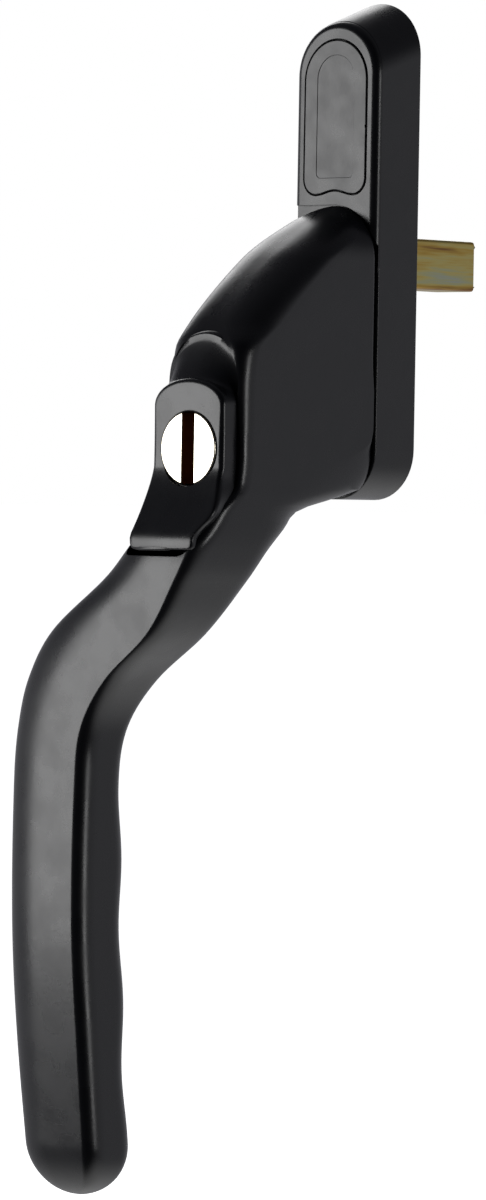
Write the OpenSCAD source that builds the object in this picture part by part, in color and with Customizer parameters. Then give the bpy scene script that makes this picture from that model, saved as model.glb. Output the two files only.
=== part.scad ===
// Cranked, key-locking window sash handle.
// X runs across the backplate, +Y goes into the sash and +Z is up.
// The origin is on the spindle's axis, in the plane of the sash face.
// The grip hangs down, so the lever is in its closed position.

/* [Backplate] */
// Width of the backplate
plate_w = 15; // [15:0.5:20]
// Thickness of the backplate under the lever, from the sash face forwards
plate_t = 8.3; // [8:0.1:9]
// Extra thickness of the raised pad above the lever
pad_t = 0.9; // [0.6:0.1:1.2]
// Height of the backplate's top above the spindle
plate_top = 36; // [34:0.5:45]
// Depth of the backplate's bottom below the spindle
plate_bottom = 33; // [32:0.5:38]
// Radius of the backplate's two bottom corners
plate_corner_r = 7; // [5:0.5:7]
// How much lower the backplate's front is at its top, which gives the casting its draft
plate_draft = 3; // [0:0.1:4]
// Thickness of the hollow casting's side walls
plate_wall = 1.7; // [1.4:0.1:2]
// Thickness of the hollow casting's front wall
plate_web = 3.6; // [3:0.1:4.2]

/* [Fixing screws] */
// Distance between the two screw holes
screw_pitch = 43; // [35:0.5:46]
// Diameter of each screw hole
screw_hole_d = 5.3; // [4.3:0.1:5.5]
// Diameter of the recess for each screw's head
screw_head_d = 8.6; // [7:0.1:9]
// Depth of material left under each screw's head
screw_seat_t = 4; // [3:0.1:4.4]

/* [Cover cap] */
// Width of the cap over the upper screw
cap_w = 11.2; // [10:0.1:11.2]
// Length of the cap
cap_len = 21.3; // [19:0.1:22]
// Height of the cap's lower edge above the spindle
cap_from = 9.1; // [9:0.1:11]
// How far the cap stands proud of the pad
cap_proud = 0.1; // [0:0.1:1]
// How deep the cap sits in the pad
cap_sunk = 1.3; // [1:0.1:1.6]
// Width of the shallow panel in the cap's face
cap_panel_w = 6.8; // [5:0.1:8]

/* [Spindle] */
// Side of the square spindle
spindle_side = 7; // [5.8:0.1:7]
// How far the spindle stands out behind the sash face
spindle_out = 17.6; // [10:0.2:40]
// How deep the spindle goes into the lever, from the sash face
spindle_in = 15; // [13:0.2:15]

/* [Lever] */
// Gap between the lever and the backplate
lever_gap = 0.25; // [0.2:0.05:0.5]
// How far the grip is set to the side of the spindle
crank_offset = 21.2; // [12:0.2:30]
// Distance from the sash face to the grip's front
projection = 43; // [42:0.5:50]
// Depth of the grip's lower end below the spindle
lever_reach = 129; // [122:0.5:160]
// Width of the grip
grip_w = 14.6; // [12:0.2:18]
// Thickness of the grip, front to back
grip_t = 10.4; // [8:0.1:12]
// Depth of the finger hollows along the grip's back
finger_depth = 0.7; // [0:0.1:1.5]
// Diameter of the journal that turns in the backplate
journal_d = 11.6; // [11.6:0.1:11.8]

/* [Lock] */
// Depth of the lock barrel's axis below the spindle
lock_drop = 26.4; // [26:0.1:27]
// Diameter of the lock barrel's face
barrel_d = 9.9; // [8:0.1:10]
// Width of the slot in the barrel's face
barrel_slot = 2.2; // [1.5:0.1:3]
// Diameter of the locking bolt
bolt_d = 3; // [2.5:0.1:3]
// How far the locking bolt travels
bolt_travel = 3; // [2:0.1:3]

/* [Hidden] */

$fn = 48;
run_gap = 0.05;          // radial clearance of a part that turns or slides in a bore
seat_gap = 0.05;         // clearance around a part that is fixed in its pocket
eps = 0.01;
powder_black = "#232427";
nickel = "#c9c6bd";
zinc_yellow = "#a89a52";
spring_steel = "#8f9296";
nylon = "#d8d5c8";

// Backplate
half_w = plate_w / 2;
front_y = -plate_t;
pad_y = front_y - pad_t;                 // front of the raised pad
web_back = front_y + plate_web;          // rear face of the front wall
hub_web = 3;                             // front wall's thickness around the journal
hub_floor = front_y + hub_web;           // floor of the hub's counterbore
bore_r = journal_d / 2 + run_gap;
hub_cb_r = journal_d / 2 + 0.75;         // counterbore that holds washer and circlip
screw_z = screw_pitch / 2;
boss_r = screw_head_d / 2 + 0.6;
bolt_hole_r = bolt_d / 2 + 0.2;

// Cover cap
cap_face = pad_y - cap_proud;
cap_peg_r = 0.9;
cap_peg_len = 2.2;
cap_pegs = [cap_from + 2.2, cap_from + cap_len - 2.6];
cap_hollow_r = 14;                       // curve of the cap's lower edge

// Washers and circlip on the journal
washer_sunk = 1;
washer_t = washer_sunk + lever_gap - 0.05;
washer_r = half_w - 1.3;
wave_t = 0.6;
ring_t = 0.7;
ring_y = hub_floor + wave_t + 0.1;       // front face of the journal's circlip
ring_wall = 1.0;
groove_r = journal_d / 2 - 0.5;
journal_end = -1;

// Detent: balls pressed into notches in the journal by springs
ball_d = 2.4;
detent_y = (ring_y + ring_t + journal_end) / 2;
ball_z = journal_d / 2 + ball_d / 2 + 0.06;
notch_r = ball_d / 2 + 0.1;
guide_w = plate_w - 2 * plate_wall - 2 * seat_gap;
guide_from = hub_cb_r + 0.45;
guide_to = screw_z - boss_r - 0.1;
guide_bore_r = ball_d / 2 + run_gap;
guide_floor = 1;                         // nylon left at the far end of the guide's bore
coil_wire = 0.4;

// Lever
lock_z = -lock_drop;
lever_back = front_y - lever_gap;
hub_r = half_w;
crank_front = 7.8 - projection;          // front of the crank, around the lock
neck_top = lock_z - 14.1;                // where the neck starts below the lock
grip_top = -72;
grip_half = grip_w / 2;
tip_len = 7.1;
finger_ridge = -82.5;                    // height of the first ridge between the finger hollows
finger_pitch = 19.6;
socket_side = spindle_side + 2 * seat_gap;
corner_cut = 0.5;
grub_d = 5;
grub_len = 3.8;
grub_y = 3 - spindle_in;

// Lock
rim_y = crank_front + 2;                 // where the housing's rim lies on the lever
rim_half = 7;
rim_top = -10.4;
rim_bottom = neck_top + 0.2;
boss_face = crank_front - 2.8;
lip_y = crank_front - 7.4;               // front of the lip at the housing's lower end
lip_top = rim_bottom + 1.9;
lip_left = 7.2;
lip_w = 12.2;
boss_half = 6.1;
boss_top = lock_z + 9.5;
body_half = 5.9;
body_top = lock_z + 8.4;
body_bottom = lock_z - 8.4;
body_back = boss_face + 10.2;
housing_floor = 1.6;                     // thickness of the housing's rear wall
barrel_proud = 0.25;
barrel_back = body_back - housing_floor - 0.05;
shank_r = 3;
clip_t = 0.6;
clip_y = body_back + 0.1;
cam_front = clip_y + clip_t + 0.1;
cam_r = 4;
cam_rise = bolt_travel;
cam_base = 1.6;                          // thickness of the cam under its low end
cam_low = cam_front + cam_base;
cam_top = cam_low + cam_rise;
cam_steps = 12;
shank_back = cam_low - 0.3;
shank_flat = shank_r - 0.6;              // the cam is keyed on a flat at this distance
cavity_r = cam_r + 0.5;
bolt_off = 2.2;                          // from the barrel's axis down to the bolt's axis
bolt_z = lock_z - bolt_off;
nib_r = 0.6;
nib_clear = 0.8;
bolt_start = cam_low + nib_clear;
collar_y = cam_top + 0.3;
collar_t = 0.8;
collar_r = 2.1;
bolt_tip = lever_back - 0.35;
spring_solid = 2.8;                      // the bolt spring's length when the bolt is out
cavity_back = collar_y + collar_t + bolt_travel + spring_solid;

// The lever's shape. Each row gives a height, then the section there: centre across,
// front, back, half width, front corner radius, and the back corner's radii across and deep.
lever_rows = [
    [hub_r,         0, front_y - 0.9,     lever_back, half_w, 0.6, 0.3, 0.3],
    [5.3,           0, front_y - 5.8,     lever_back, half_w, 4.4, 0.8, 0.8],
    [3,             0, front_y - 10.1,    lever_back, half_w, 5.5, 0.8, 0.8],
    [0,             0, front_y - 14.9,    lever_back, half_w, 6,   0.8, 0.8],
    [-5,            0, crank_front + 5.9, lever_back, half_w, 6,   0.8, 0.8],
    [-9.5,          0, crank_front + 1.6, lever_back, half_w, 5.4, 0.8, 0.8],
    [-13,           0, crank_front - 0.2, lever_back, half_w, 4.2, 0.8, 0.8],
    [lock_z + 1.4,  0, crank_front,       lever_back, half_w, 3.2, 0.8, 0.8],
    [lock_z - 1.9,  0, crank_front,       lever_back, half_w, 3.2, 0.8, 8.5],
    [lock_z - 5.1,  0, crank_front - 0.6, lever_back, half_w, 3.2, 2.6, 14],
    [lock_z - 6.6,  0, crank_front - 1.8, lever_back - 3.6,  half_w, 3.2, 6, 14],
    [lock_z - 8.2, -0.3, crank_front - 3.6, lever_back - 10, half_w, 3.2, 6.6, 11],
    [lock_z - 10.6, -0.8, crank_front - 5.4, crank_front + 14, half_w, 3.2, 6.8, 8],
    [neck_top + 0.5, -2, 0.6 - projection, 19 - projection, 7.7, 3.4, 6.4, 6.4],
    [neck_top - 3.5, -4.7, -projection, 16.7 - projection, 8.6, 3.5, 5.8, 5.6],
    [neck_top - 11, -1.3 - crank_offset / 2, -projection, 12.9 - projection,
     11, 3.5, 4.5, 4.2],
    [grip_top + 14, 3.7 - crank_offset, -projection, grip_t + 0.7 - projection,
     9, 3.4, 3.6, 3.4],
    [grip_top + 7.5, 0.8 - crank_offset, -projection, grip_t - 0.6 - projection,
     grip_half + 0.3, 3.2, 3.2, 3],
    [grip_top, -crank_offset, -projection, grip_t - 0.6 - projection,
     grip_half + 0.1, 3, 3, 3],
    [37 - lever_reach, -crank_offset, -projection, grip_t - projection,
     grip_half, 3, 3, 3],
    [21 - lever_reach, 0.5 - crank_offset, 0.9 - projection,
     grip_t + 0.3 - projection, grip_half, 3, 3, 3],
    [-lever_reach, 1.4 - crank_offset, 2.6 - projection, grip_t + 1.4 - projection,
     grip_half - 0.4, 3, 3, 3]
];

// ---------- shared shapes ----------

// A flat outline, drawn in X and Z, made solid from y_back forwards to y_front
module slab(y_back, y_front) {
    translate([0, y_back, 0]) rotate([90, 0, 0])
        linear_extrude(y_back - y_front) children();
}

// A round along Y
module round_y(r, y_back, y_front, z = 0) {
    translate([0, y_back, z]) rotate([90, 0, 0]) cylinder(r = r, h = y_back - y_front);
}

// A shape with a round top, straight sides and round bottom corners
module tombstone(half, top, bottom, corner) {
    translate([0, top - half]) circle(r = half);
    translate([-half, bottom + corner]) square([2 * half, top - half - bottom - corner]);
    translate([corner - half, bottom]) square([2 * (half - corner), corner + eps]);
    for (side = [-1, 1]) translate([side * (half - corner), bottom + corner]) circle(r = corner);
}

module plate_outline(inset = 0, drop = 0) {
    tombstone(half_w - inset, plate_top - inset - drop, inset - plate_bottom,
              plate_corner_r - inset);
}

// A coil spring along Z, from z = 0 up to z = len
function coil_point(r, wire, turns, len, i, j, steps, sides) =
    let (a = 360 * turns * i / steps, b = 360 * j / sides,
         rise = wire / 2 + (len - wire) * i / steps)
    [(r + wire / 2 * cos(b)) * cos(a), (r + wire / 2 * cos(b)) * sin(a),
     rise + wire / 2 * sin(b)];

module coil(r, wire, turns, len, per_turn = 12, sides = 6) {
    steps = turns * per_turn;
    points = [for (i = [0:steps], j = [0:sides - 1])
              coil_point(r, wire, turns, len, i, j, steps, sides)];
    tube = [for (i = [0:steps - 1], j = [0:sides - 1])
            let (k = (j + 1) % sides)
            each [[i * sides + j, i * sides + k, (i + 1) * sides + k],
                  [i * sides + j, (i + 1) * sides + k, (i + 1) * sides + j]]];
    polyhedron(points, concat(tube, [[for (j = [sides - 1:-1:0]) j]],
                              [[for (j = [0:sides - 1]) steps * sides + j]]));
}

// An open ring that snaps into a groove
module snap_ring(r_in, r_out, y_back, y_front, z, mouth) {
    translate([0, 0, z]) slab(y_back, y_front) difference() {
        circle(r = r_out);
        circle(r = r_in);
        rotate(-45) translate([0, -mouth / 2]) square([r_out + 1, mouth]);
    }
}

// A square bar's outline with its corners cut
module bar_outline(side, cut) {
    intersection() {
        square(side, center = true);
        rotate(45) square((side - cut) * sqrt(2), center = true);
    }
}

// ---------- backplate and what it holds ----------

module backplate_body() {
    hull() {
        slab(0, -eps) plate_outline();
        slab(front_y + eps, front_y) plate_outline(0, plate_draft);
    }
    difference() {
        hull() {
            slab(front_y + eps, front_y) pad_outline(0);
            slab(front_y, front_y - pad_t / 2) pad_outline(pad_t / 4);
            slab(front_y, pad_y) pad_outline(pad_t);
        }
        slab(front_y, pad_y - 1) lever_sweep(hub_r + 0.2);
    }
}

module pad_outline(inset) {
    translate([0, plate_top - half_w - plate_draft]) circle(r = half_w - inset);
    translate([inset - half_w, 0])
        square([plate_w - 2 * inset, plate_top - half_w - plate_draft]);
}

// What the lever sweeps over as it turns: its round hub, and all that is level with it on one side
module lever_sweep(r) {
    circle(r = r);
    translate([-plate_w, -1]) square([plate_w, r + 1]);
}

// Hollow at the rear, less the bosses for the journal, the screws and the locking bolt
module rear_hollow() {
    difference() {
        slab(1, web_back) difference() {
            plate_outline(plate_wall, plate_draft);
            for (side = [-1, 1]) translate([0, side * screw_z]) circle(r = boss_r);
        }
        slab(2, web_back - 1) difference() {
            square([plate_w, 2 * (hub_cb_r + 0.4)], center = true);
            square([guide_w - 3, 3 * plate_w], center = true);
        }
    }
}

module backplate() {
    color(powder_black) difference() {
        backplate_body();
        rear_hollow();
        round_y(bore_r, 1, front_y - 1);
        round_y(hub_cb_r, 1, hub_floor);
        round_y(washer_r + seat_gap, front_y + washer_sunk, front_y - 1);
        for (side = [-1, 1]) {
            round_y(screw_hole_d / 2, 1, pad_y - 1, side * screw_z);
            round_y(screw_head_d / 2, -screw_seat_t, pad_y - 1, side * screw_z);
        }
        slab(pad_y + cap_sunk, pad_y - 1) cap_outline(-seat_gap);
        for (z = cap_pegs) round_y(cap_peg_r + seat_gap, web_back + 1, pad_y, z);
        round_y(bolt_hole_r, 1, front_y - 1, bolt_z);
    }
}

module cap_outline(inset) {
    difference() {
        tombstone(cap_w / 2 - inset, cap_from + cap_len - inset, cap_from + inset, 1.5 - inset);
        translate([0, cap_from + 0.6 - cap_hollow_r + inset]) circle(r = cap_hollow_r, $fn = 96);
    }
}

module cover_cap() {
    color("#2c2d30") difference() {
        union() {
            slab(pad_y + cap_sunk, cap_face) cap_outline(0);
            for (z = cap_pegs) round_y(cap_peg_r, pad_y + cap_sunk + cap_peg_len, pad_y, z);
        }
        slab(cap_face + 0.25, cap_face - 1)
            tombstone(cap_panel_w / 2, cap_from + cap_len - 2, cap_from + 2, 0.8);
        round_y(screw_head_d / 2 - 0.5, pad_y + cap_sunk + 1, cap_face + 0.9, screw_z);
    }
}

module bearing_washer() {
    color(nylon) difference() {
        round_y(washer_r, front_y + washer_sunk, front_y + washer_sunk - washer_t);
        round_y(bore_r, 1, front_y - 1);
    }
}

module wave_washer() {
    color(spring_steel) difference() {
        round_y(hub_cb_r - 0.1, hub_floor + wave_t, hub_floor);
        round_y(bore_r, 1, front_y - 1);
        for (a = [0, 120, 240]) rotate([0, a, 0]) {
            translate([0, hub_floor, hub_cb_r / 2]) cube([4, 0.5, hub_cb_r], center = true);
            translate([0, hub_floor + wave_t, -hub_cb_r / 2]) cube([4, 0.5, hub_cb_r], center = true);
        }
    }
}

module retaining_circlip() {
    color(spring_steel)
        snap_ring(groove_r + 0.02, groove_r + ring_wall, ring_y + ring_t, ring_y, 0, 7);
}

// Built above the journal, and turned over for the lower set
module detent_side(side) {
    rotate([0, side > 0 ? 0 : 180, 0]) translate([0, detent_y, 0]) children();
}

module detent_guide(side) {
    color(nylon) detent_side(side) difference() {
        slab(-0.2 - detent_y, web_back + 0.02 - detent_y) translate([-guide_w / 2, guide_from])
            square([guide_w, guide_to - guide_from]);
        translate([0, 0, guide_from - 1])
            cylinder(r = guide_bore_r, h = guide_to - guide_from + 1 - guide_floor);
    }
}

module detent_ball(side) {
    color(spring_steel) detent_side(side) translate([0, 0, ball_z]) sphere(r = ball_d / 2);
}

module detent_spring(side) {
    from = ball_z + ball_d / 2 - 0.15;
    color(spring_steel) detent_side(side) translate([0, 0, from])
        coil(guide_bore_r - coil_wire / 2 - 0.1, coil_wire, 6, guide_to - guide_floor - 0.02 - from);
}

// ---------- lever and what turns with it ----------

function key_slope(i, c) =
    let (a = lever_rows[max(i - 1, 0)], b = lever_rows[min(i + 1, len(lever_rows) - 1)])
    (b[c] - a[c]) / (b[0] - a[0]);

function row_above(z, i = 0) =
    i >= len(lever_rows) - 2 || lever_rows[i + 1][0] < z ? i : row_above(z, i + 1);

// One column of the table at height z, on a smooth curve through the rows
function lever_at(z, c) =
    let (i = row_above(z), a = lever_rows[i], b = lever_rows[i + 1],
         h = b[0] - a[0], t = min(max((z - a[0]) / h, 0), 1))
    (2 * t * t * t - 3 * t * t + 1) * a[c] + (t * t * t - 2 * t * t + t) * h * key_slope(i, c)
    + (3 * t * t - 2 * t * t * t) * b[c] + (t * t * t - t * t) * h * key_slope(i + 1, c);

// The grip's round end: every section shrinks towards its own centre
function tip_scale(z) =
    let (d = (tip_len - lever_reach - z) / tip_len) d <= 0 ? 1 : sqrt(max(1 - d * d, 0.001));

function finger(z) =
    z > finger_ridge + finger_pitch || z < tip_len - lever_reach ? 0
    : finger_depth / 2 * (cos(360 * (z - finger_ridge) / finger_pitch) - 1);

function corner_points(cx, cy, rx, ry, from, n) =
    [for (k = [0:n]) let (a = from + 90 * k / n) [cx + rx * cos(a), cy + ry * sin(a)]];

// Section at height z, counterclockwise seen from above
function section(z, n) =
    let (hub = z > 0, s = tip_scale(z), x = lever_at(z, 1),
         w = hub ? sqrt(max(hub_r * hub_r - z * z, 0.6)) : lever_at(z, 4),
         back = z > -30 ? lever_back : min(lever_at(z, 3) + finger(z), lever_back),
         front = lever_at(z, 2), mid = (front + back) / 2,
         rf = min(max(lever_at(z, 5), 0.3), w - 0.05, (back - front) * 0.6),
         rx = min(max(lever_at(z, 6), 0.2), w - 0.05),
         ry = min(max(lever_at(z, 7), 0.2), (back - front) - rf - 0.1),
         flat = concat(
             corner_points(w - rx, back - ry, rx, ry, 0, n),
             corner_points(rx - w, back - ry, rx, ry, 90, n),
             corner_points(rf - w, front + rf, rf, rf, 180, n),
             corner_points(w - rf, front + rf, rf, rf, 270, n)))
    [for (p = flat) [x + s * p[0], mid + s * (p[1] - mid), z]];

lever_levels = concat(
    [for (a = [6, 18, 31, 44, 57, 70, 82]) hub_r * cos(a)],
    [for (z = [-0.5:-2.6:neck_top]) z],
    [for (d = [6.4, 7.2, 8]) lock_z - d],
    [for (z = [neck_top - 2:-2.9:grip_top]) z],
    [for (z = [-74:-3.6:tip_len - lever_reach + 1]) z],
    [for (a = [0, 20, 38, 54, 68, 80, 88]) tip_len - lever_reach - tip_len * sin(a)]);

function sorted_down(list) =
    len(list) < 2 ? list
    : let (p = list[floor(len(list) / 2)])
      concat(sorted_down([for (v = list) if (v > p) v]), [p],
             sorted_down([for (v = list) if (v < p) v]));

module lever_casting() {
    n = 4;
    per = 4 * (n + 1);
    levels = sorted_down(lever_levels);
    last = len(levels) - 1;
    points = [for (z = levels) each section(z, n)];
    walls = [for (i = [0:last - 1], j = [0:per - 1])
             let (k = (j + 1) % per) each
             [[i * per + j, (i + 1) * per + k, (i + 1) * per + j],
              [i * per + j, i * per + k, (i + 1) * per + k]]];
    polyhedron(points, concat([[for (j = [per - 1:-1:0]) j]], walls,
                              [[for (j = [0:per - 1]) last * per + j]]));
}

module lever() {
    color(powder_black) difference() {
        union() {
            lever_casting();
            round_y(journal_d / 2, journal_end, lever_back - 2);
        }
        slab(1, -spindle_in - 0.1) bar_outline(socket_side, corner_cut);
        difference() {
            round_y(journal_d, ring_y + ring_t + 0.05, ring_y - 0.05);
            round_y(groove_r, 1, front_y);
        }
        for (a = [0, 90, 180, 270]) rotate([0, a, 0])
            translate([0, detent_y, ball_z]) sphere(r = notch_r);
        translate([-half_w - 1, grub_y, 0]) rotate([0, 90, 0])
            cylinder(r = grub_d / 2 + run_gap, h = half_w + 1 - spindle_side / 2);
        slab(rim_y, boss_face - 10) {
            tombstone(rim_half + seat_gap, rim_top + seat_gap, rim_bottom - seat_gap, 1);
            translate([-plate_w, rim_bottom - seat_gap])
                square([2 * plate_w, rim_top - rim_half - rim_bottom + 1]);
        }
        slab(body_back + seat_gap, boss_face)
            tombstone(body_half + seat_gap, body_top + seat_gap, body_bottom - seat_gap, 1);
        round_y(cavity_r, cavity_back, boss_face, lock_z);
        round_y(bolt_d / 2 + run_gap, 1, boss_face, bolt_z);
    }
}

module spindle() {
    color(zinc_yellow) intersection() {
        slab(spindle_out, -spindle_in) bar_outline(spindle_side, corner_cut);
        rotate([90, 0, 0]) translate([0, 0, -spindle_out])
            cylinder(r1 = spindle_side / 2 + 0.2, r2 = spindle_side / 2 + 0.2 + 2 * spindle_in
                     + 2 * spindle_out, h = spindle_in + spindle_out);
    }
}

module spindle_grub_screw() {
    reach = -spindle_side / 2 - 0.02;
    color("#3a3b3e") difference() {
        translate([reach - grub_len, grub_y, 0]) rotate([0, 90, 0])
            cylinder(r = grub_d / 2, h = grub_len);
        translate([reach - grub_len - 1, grub_y, 0]) rotate([0, 90, 0])
            cylinder(r = 1.45, h = 3, $fn = 6);
    }
}

// ---------- lock ----------

module lock_housing() {
    color(powder_black) difference() {
        union() {
            slab(rim_y, rim_y - 1.2) tombstone(rim_half, rim_top, rim_bottom, 1);
            hull() {
                slab(rim_y - 1.1, rim_y - 1.2) tombstone(rim_half, rim_top, rim_bottom, 1);
                slab(boss_face + 0.1, boss_face)
                    tombstone(boss_half, boss_top, lock_z - 7, 1);
            }
            translate([-lip_left, 0, 0]) rotate([90, 0, 90]) linear_extrude(lip_w)
                polygon([[rim_y - 1, lock_z - 2], [boss_face, lock_z - 5.6],
                         [boss_face - 0.7, lip_top + 3.4], [boss_face - 2.2, lip_top + 1.4],
                         [lip_y, lip_top], [lip_y, rim_bottom], [rim_y - 1, rim_bottom]]);
            slab(body_back, rim_y) tombstone(body_half, body_top, body_bottom, 1);
        }
        round_y(barrel_d / 2 + run_gap, barrel_back + 0.05, boss_face - 5, lock_z);
        round_y(shank_r + run_gap, 0, boss_face, lock_z);
    }
}

module lock_barrel() {
    color(nickel) difference() {
        union() {
            round_y(barrel_d / 2, barrel_back, boss_face - barrel_proud, lock_z);
            round_y(shank_r, shank_back, barrel_back - 1, lock_z);
        }
        slab(boss_face + 3.2, boss_face - 5) translate([0, lock_z])
            square([barrel_slot, barrel_d + 1], center = true);
        difference() {
            round_y(shank_r + 1, clip_y + clip_t + 0.04, clip_y - 0.04, lock_z);
            round_y(shank_r - 0.5, 0, boss_face, lock_z);
        }
        key_flat(shank_flat);
    }
}

// What the flat on the barrel's shank leaves out
module key_flat(from) {
    translate([from, cam_front, lock_z - 5]) cube([3, cam_base + 1, 10]);
}

// End cam: its rear face climbs by the bolt's travel over a quarter turn, in fine steps
module lock_cam() {
    rise = cam_rise / cam_steps;
    over = 25;                           // the top carries on this far past the climb
    color(nickel) difference() {
        union() {
            round_y(cam_r, cam_low, cam_front, lock_z);
            translate([0, cam_low, lock_z]) rotate([-90, 0, 0])
                for (k = [0:cam_steps - 1]) rotate(-over)
                    rotate_extrude(angle = over + 90 - 90 * (k + 0.5) / cam_steps)
                        translate([1.2, rise * k - 0.1]) square([cam_r - 1.2, rise + 0.1]);
        }
        difference() {
            round_y(shank_r + run_gap, shank_back + 0.05, cam_front - 1, lock_z);
            key_flat(shank_flat + run_gap);
        }
    }
}

module barrel_circlip() {
    color(spring_steel)
        snap_ring(shank_r - 0.48, shank_r + 0.9, clip_y + clip_t, clip_y, lock_z, 4);
}

module locking_bolt() {
    color(nickel) {
        round_y(nib_r, collar_y, bolt_start, bolt_z);
        round_y(collar_r, collar_y + collar_t, collar_y, bolt_z);
        round_y(bolt_d / 2, bolt_tip, collar_y, bolt_z);
    }
}

module bolt_spring() {
    color(spring_steel) translate([0, collar_y + collar_t + 0.02, bolt_z]) rotate([-90, 0, 0])
        coil(bolt_d / 2 + coil_wire / 2 + 0.1, coil_wire, 5,
             cavity_back - collar_y - collar_t - 0.04);
}

backplate();
cover_cap();
bearing_washer();
wave_washer();
retaining_circlip();
detent_guide(1);  // upper_detent_guide
detent_guide(-1);  // lower_detent_guide
detent_ball(1);  // upper_detent_ball
detent_ball(-1);  // lower_detent_ball
detent_spring(1);  // upper_detent_spring
detent_spring(-1);  // lower_detent_spring
lever();
spindle();
spindle_grub_screw();
lock_housing();
lock_barrel();
lock_cam();
barrel_circlip();
locking_bolt();
bolt_spring();
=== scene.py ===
"""The finished look of a cranked, key-locking window handle, built around its CAD frame."""
import math

import bmesh
import bpy
from mathutils import Matrix, Vector


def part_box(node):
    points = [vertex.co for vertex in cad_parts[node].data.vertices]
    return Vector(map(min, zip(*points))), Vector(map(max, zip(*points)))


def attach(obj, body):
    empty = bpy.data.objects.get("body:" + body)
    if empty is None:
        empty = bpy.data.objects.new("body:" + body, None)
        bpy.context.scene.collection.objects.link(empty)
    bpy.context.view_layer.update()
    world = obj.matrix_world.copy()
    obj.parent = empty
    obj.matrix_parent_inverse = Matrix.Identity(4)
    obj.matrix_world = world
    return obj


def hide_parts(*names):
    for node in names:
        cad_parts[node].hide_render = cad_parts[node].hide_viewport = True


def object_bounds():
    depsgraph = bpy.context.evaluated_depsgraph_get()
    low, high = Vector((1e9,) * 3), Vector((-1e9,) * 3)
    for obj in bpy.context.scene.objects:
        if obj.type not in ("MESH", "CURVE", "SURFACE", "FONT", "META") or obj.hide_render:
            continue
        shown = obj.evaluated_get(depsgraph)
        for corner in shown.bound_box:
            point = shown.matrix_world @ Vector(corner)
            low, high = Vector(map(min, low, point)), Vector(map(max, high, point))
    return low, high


bl_info = {
    "name": "Cranked window handle",
    "version": (1, 0, 0),
    "blender": (4, 5, 0),
    "location": "View3D > Sidebar > Window Handle",
    "description": "Builds a key-locking window handle with a cranked lever, piece by piece",
    "category": "Object",
}

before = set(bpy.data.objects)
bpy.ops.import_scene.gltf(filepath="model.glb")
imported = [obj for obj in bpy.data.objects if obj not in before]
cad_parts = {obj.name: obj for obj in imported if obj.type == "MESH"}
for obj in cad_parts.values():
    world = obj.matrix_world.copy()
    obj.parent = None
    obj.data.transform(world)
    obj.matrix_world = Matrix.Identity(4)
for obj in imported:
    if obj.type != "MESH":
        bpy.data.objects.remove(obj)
CAD_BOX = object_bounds()
MM = 0.001

PLATE_LOW, PLATE_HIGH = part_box("backplate")
CAP_LOW, CAP_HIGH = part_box("cover_cap")
LEVER_LOW, LEVER_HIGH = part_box("lever")
BAR_LOW, BAR_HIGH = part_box("spindle")
HOUSING_LOW, HOUSING_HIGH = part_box("lock_housing")
BARREL_LOW, BARREL_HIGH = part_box("lock_barrel")
BOLT_LOW, BOLT_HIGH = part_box("locking_bolt")
WASHER_LOW, WASHER_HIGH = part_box("bearing_washer")
CLIP_LOW, CLIP_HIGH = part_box("retaining_circlip")

FIT = 0.05 * MM                # clearance round a piece that is seated or turns
PAST = 1 * MM                  # how far a cutter runs past the face it cuts
PLATE_CORNER = 7 * MM          # radius of the backplate's bottom corners
CAP_SUNK = 1.3 * MM            # depth of the cap's seat in the pad
BEARING_R = 5.85 * MM          # bore of the backplate, round the journal
JOURNAL_R = 5.8 * MM
CLIP_WELL_R = 6.55 * MM        # counterbore that holds the journal's circlip
BOLT_HOLE_R = 1.7 * MM
SHANK_R = 3 * MM               # shank of the lock barrel
LOCK_HALF = 5.9 * MM           # half width of the housing's body, behind its rim
LOCK_RISE = 8.4 * MM           # how far that body reaches above and below the barrel
TIP_LENGTH = 7.1               # rounded end of the grip, in mm
FINGER_RIDGE = -82.5           # height of the first ridge between the finger hollows, in mm
FINGER_PITCH = 19.6            # distance from ridge to ridge, in mm


def linear(hex_colour):
    """An sRGB hex colour as linear red, green and blue."""
    parts = [int(hex_colour[i : i + 2], 16) / 255 for i in (1, 3, 5)]
    return tuple(c / 12.92 if c <= 0.04045 else ((c + 0.055) / 1.055) ** 2.4 for c in parts)


def length(name, description, default_mm):
    """A length property, given in millimetres and kept in metres."""
    return bpy.props.FloatProperty(
        name=name, description=description, default=default_mm * MM, min=0,
        precision=5, subtype="DISTANCE", unit="LENGTH",
    )


def colour(name, description, hex_colour):
    return bpy.props.FloatVectorProperty(
        name=name, description=description, default=linear(hex_colour), min=0, max=1,
        size=3, subtype="COLOR",
    )


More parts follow.
